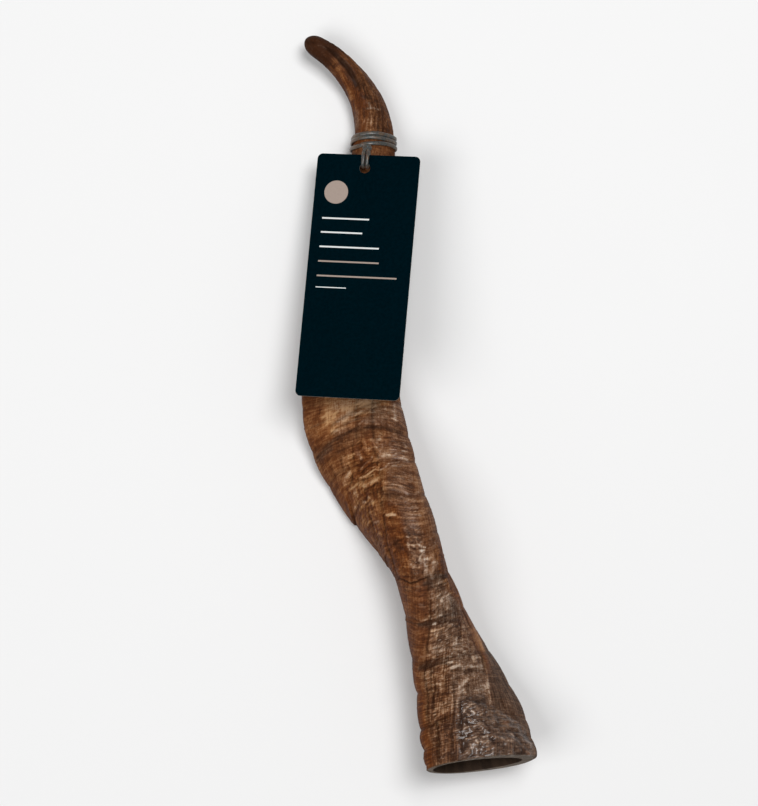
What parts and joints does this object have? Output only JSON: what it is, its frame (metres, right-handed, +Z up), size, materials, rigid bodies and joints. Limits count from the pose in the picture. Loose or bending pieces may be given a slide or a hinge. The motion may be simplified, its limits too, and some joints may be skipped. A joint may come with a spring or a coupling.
{
  "type": "ram horn",
  "caption": "Long twisted ram's horn with growth rings and a hollow sawn base, lying flat, with a blank card tag held near its tip by an elastic band.",
  "frame": {"origin": "middle of the bounding box's bottom, on the surface that the horn lies on", "axes": "+Y along the horn towards its tip, +Z up from the surface, +X to the right seen from above"},
  "size_m": [0.1064, 0.3262, 0.0497],
  "materials": {
    "horn": "natural horn, ringed and fibrous, half gloss",
    "tag": "printed card, matt, near black",
    "elastic_band": "translucent grey elastic, half gloss"
  },
  "bodies": {
    "root": {"horn": "horn", "tag": "tag", "elastic_band": "elastic_band"}
  },
  "joints": []
}
